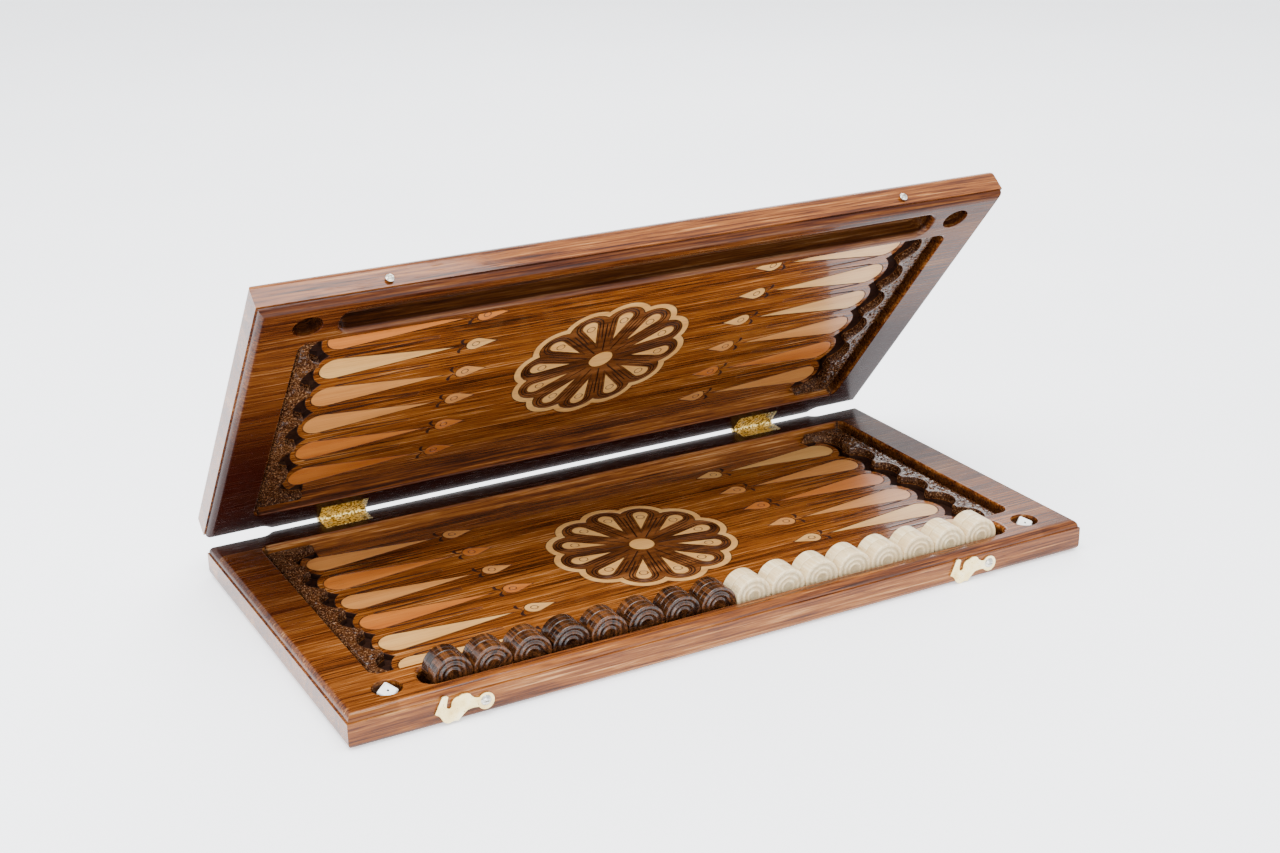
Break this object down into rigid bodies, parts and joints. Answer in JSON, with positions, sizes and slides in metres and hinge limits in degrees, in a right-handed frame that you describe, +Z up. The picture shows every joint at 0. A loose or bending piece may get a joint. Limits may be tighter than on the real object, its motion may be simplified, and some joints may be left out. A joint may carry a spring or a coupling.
{
  "type": "backgammon set",
  "caption": "Folding wooden backgammon box: two carved, inlaid halves on hinges, with checkers in a groove and dice in round wells.",
  "frame": {"origin": "centre of the underside of the base half", "axes": "+Z up, +X along the hinge line with the dark checkers towards -X, +Y from the latches to the hinges"},
  "size_m": [0.6, 0.3219, 0.2732],
  "materials": {
    "board_wood": "satin varnish",
    "ground_wood": "satin varnish",
    "inlay_wood": "satin varnish",
    "brass": "polished",
    "checker_dark": "gloss varnish",
    "checker_light": "gloss varnish",
    "dice": "gloss"
  },
  "bodies": {
    "base": {"board_base": "board_wood", "drops_base": "inlay_wood", "hinge_leaf_base_left": "brass", "hinge_leaf_base_right": "brass", "hinge_pin_left": "brass", "hinge_pin_right": "brass", "hinge_screws_base": "brass", "latch_screws": "brass", "points_base": "inlay_wood", "rosette_band_base": "inlay_wood", "rosette_disc_base": "inlay_wood", "rosette_ground_base": "ground_wood", "rosette_petals_base": "inlay_wood"},
    "lid": {"board_lid": "board_wood", "drops_lid": "inlay_wood", "hinge_leaf_lid_left": "brass", "hinge_leaf_lid_right": "brass", "hinge_screws_lid": "brass", "lid_pins": "brass", "points_lid": "inlay_wood", "rosette_band_lid": "inlay_wood", "rosette_disc_lid": "inlay_wood", "rosette_ground_lid": "ground_wood", "rosette_petals_lid": "inlay_wood"},
    "checker_dark_01": {"checker_dark_01": "checker_dark"},
    "checker_dark_02": {"checker_dark_02": "checker_dark"},
    "checker_dark_03": {"checker_dark_03": "checker_dark"},
    "checker_dark_04": {"checker_dark_04": "checker_dark"},
    "checker_dark_05": {"checker_dark_05": "checker_dark"},
    "checker_dark_06": {"checker_dark_06": "checker_dark"},
    "checker_dark_07": {"checker_dark_07": "checker_dark"},
    "checker_dark_08": {"checker_dark_08": "checker_dark"},
    "checker_dark_09": {"checker_dark_09": "checker_dark"},
    "checker_dark_10": {"checker_dark_10": "checker_dark"},
    "checker_dark_11": {"checker_dark_11": "checker_dark"},
    "checker_dark_12": {"checker_dark_12": "checker_dark"},
    "checker_dark_13": {"checker_dark_13": "checker_dark"},
    "checker_dark_14": {"checker_dark_14": "checker_dark"},
    "checker_dark_15": {"checker_dark_15": "checker_dark"},
    "checker_dark_16": {"checker_dark_16": "checker_dark"},
    "checker_light_01": {"checker_light_01": "checker_light"},
    "checker_light_02": {"checker_light_02": "checker_light"},
    "checker_light_03": {"checker_light_03": "checker_light"},
    "checker_light_04": {"checker_light_04": "checker_light"},
    "checker_light_05": {"checker_light_05": "checker_light"},
    "checker_light_06": {"checker_light_06": "checker_light"},
    "checker_light_07": {"checker_light_07": "checker_light"},
    "checker_light_08": {"checker_light_08": "checker_light"},
    "checker_light_09": {"checker_light_09": "checker_light"},
    "checker_light_10": {"checker_light_10": "checker_light"},
    "checker_light_11": {"checker_light_11": "checker_light"},
    "checker_light_12": {"checker_light_12": "checker_light"},
    "checker_light_13": {"checker_light_13": "checker_light"},
    "checker_light_14": {"checker_light_14": "checker_light"},
    "checker_light_15": {"checker_light_15": "checker_light"},
    "checker_light_16": {"checker_light_16": "checker_light"},
    "die_left": {"die_left": "dice"},
    "die_right": {"die_right": "dice"},
    "latch_left": {"latch_left": "brass"},
    "latch_right": {"latch_right": "brass"}
  },
  "joints": [
    {"name": "lid_hinge", "type": "hinge", "parent": "base", "child": "lid", "pos_m": [0, 0.153, 0.0253], "axis": [-1, 0, 0], "range_deg": [-50.5, 129.5]},
    {"name": "latch_left_turn", "type": "hinge", "parent": "base", "child": "latch_left", "pos_m": [-0.2048, -0.1508, 0.0108], "axis": [0, 1, 0], "range_deg": [-2.5, 78]},
    {"name": "latch_right_turn", "type": "hinge", "parent": "base", "child": "latch_right", "pos_m": [0.2104, -0.1508, 0.0108], "axis": [0, 1, 0], "range_deg": [0, 80.5]},
    {"name": "checker_dark_01_lift", "type": "slide", "parent": "base", "child": "checker_dark_01", "axis": [0, 0, 1], "range_m": [0, 0.06]},
    {"name": "checker_dark_02_lift", "type": "slide", "parent": "base", "child": "checker_dark_02", "axis": [0, 0, 1], "range_m": [0, 0.06]},
    {"name": "checker_dark_03_lift", "type": "slide", "parent": "base", "child": "checker_dark_03", "axis": [0, 0, 1], "range_m": [0, 0.06]},
    {"name": "checker_dark_04_lift", "type": "slide", "parent": "base", "child": "checker_dark_04", "axis": [0, 0, 1], "range_m": [0, 0.06]},
    {"name": "checker_dark_05_lift", "type": "slide", "parent": "base", "child": "checker_dark_05", "axis": [0, 0, 1], "range_m": [0, 0.06]},
    {"name": "checker_dark_06_lift", "type": "slide", "parent": "base", "child": "checker_dark_06", "axis": [0, 0, 1], "range_m": [0, 0.06]},
    {"name": "checker_dark_07_lift", "type": "slide", "parent": "base", "child": "checker_dark_07", "axis": [0, 0, 1], "range_m": [0, 0.06]},
    {"name": "checker_dark_08_lift", "type": "slide", "parent": "base", "child": "checker_dark_08", "axis": [0, 0, 1], "range_m": [0, 0.06]},
    {"name": "checker_dark_09_lift", "type": "slide", "parent": "base", "child": "checker_dark_09", "axis": [0, 0, 1], "range_m": [0, 0.06]},
    {"name": "checker_dark_10_lift", "type": "slide", "parent": "base", "child": "checker_dark_10", "axis": [0, 0, 1], "range_m": [0, 0.06]},
    {"name": "checker_dark_11_lift", "type": "slide", "parent": "base", "child": "checker_dark_11", "axis": [0, 0, 1], "range_m": [0, 0.06]},
    {"name": "checker_dark_12_lift", "type": "slide", "parent": "base", "child": "checker_dark_12", "axis": [0, 0, 1], "range_m": [0, 0.06]},
    {"name": "checker_dark_13_lift", "type": "slide", "parent": "base", "child": "checker_dark_13", "axis": [0, 0, 1], "range_m": [0, 0.06]},
    {"name": "checker_dark_14_lift", "type": "slide", "parent": "base", "child": "checker_dark_14", "axis": [0, 0, 1], "range_m": [0, 0.06]},
    {"name": "checker_dark_15_lift", "type": "slide", "parent": "base", "child": "checker_dark_15", "axis": [0, 0, 1], "range_m": [0, 0.06]},
    {"name": "checker_dark_16_lift", "type": "slide", "parent": "base", "child": "checker_dark_16", "axis": [0, 0, 1], "range_m": [0, 0.06]},
    {"name": "checker_light_01_lift", "type": "slide", "parent": "base", "child": "checker_light_01", "axis": [0, 0, 1], "range_m": [0, 0.06]},
    {"name": "checker_light_02_lift", "type": "slide", "parent": "base", "child": "checker_light_02", "axis": [0, 0, 1], "range_m": [0, 0.06]},
    {"name": "checker_light_03_lift", "type": "slide", "parent": "base", "child": "checker_light_03", "axis": [0, 0, 1], "range_m": [0, 0.06]},
    {"name": "checker_light_04_lift", "type": "slide", "parent": "base", "child": "checker_light_04", "axis": [0, 0, 1], "range_m": [0, 0.06]},
    {"name": "checker_light_05_lift", "type": "slide", "parent": "base", "child": "checker_light_05", "axis": [0, 0, 1], "range_m": [0, 0.06]},
    {"name": "checker_light_06_lift", "type": "slide", "parent": "base", "child": "checker_light_06", "axis": [0, 0, 1], "range_m": [0, 0.06]},
    {"name": "checker_light_07_lift", "type": "slide", "parent": "base", "child": "checker_light_07", "axis": [0, 0, 1], "range_m": [0, 0.06]},
    {"name": "checker_light_08_lift", "type": "slide", "parent": "base", "child": "checker_light_08", "axis": [0, 0, 1], "range_m": [0, 0.06]},
    {"name": "checker_light_09_lift", "type": "slide", "parent": "base", "child": "checker_light_09", "axis": [0, 0, 1], "range_m": [0, 0.06]},
    {"name": "checker_light_10_lift", "type": "slide", "parent": "base", "child": "checker_light_10", "axis": [0, 0, 1], "range_m": [0, 0.06]},
    {"name": "checker_light_11_lift", "type": "slide", "parent": "base", "child": "checker_light_11", "axis": [0, 0, 1], "range_m": [0, 0.06]},
    {"name": "checker_light_12_lift", "type": "slide", "parent": "base", "child": "checker_light_12", "axis": [0, 0, 1], "range_m": [0, 0.06]},
    {"name": "checker_light_13_lift", "type": "slide", "parent": "base", "child": "checker_light_13", "axis": [0, 0, 1], "range_m": [0, 0.06]},
    {"name": "checker_light_14_lift", "type": "slide", "parent": "base", "child": "checker_light_14", "axis": [0, 0, 1], "range_m": [0, 0.06]},
    {"name": "checker_light_15_lift", "type": "slide", "parent": "base", "child": "checker_light_15", "axis": [0, 0, 1], "range_m": [0, 0.06]},
    {"name": "checker_light_16_lift", "type": "slide", "parent": "base", "child": "checker_light_16", "axis": [0, 0, 1], "range_m": [0, 0.06]},
    {"name": "die_left_lift", "type": "slide", "parent": "base", "child": "die_left", "axis": [0, 0, 1], "range_m": [0, 0.06]},
    {"name": "die_right_lift", "type": "slide", "parent": "base", "child": "die_right", "axis": [0, 0, 1], "range_m": [0, 0.06]}
  ]
}
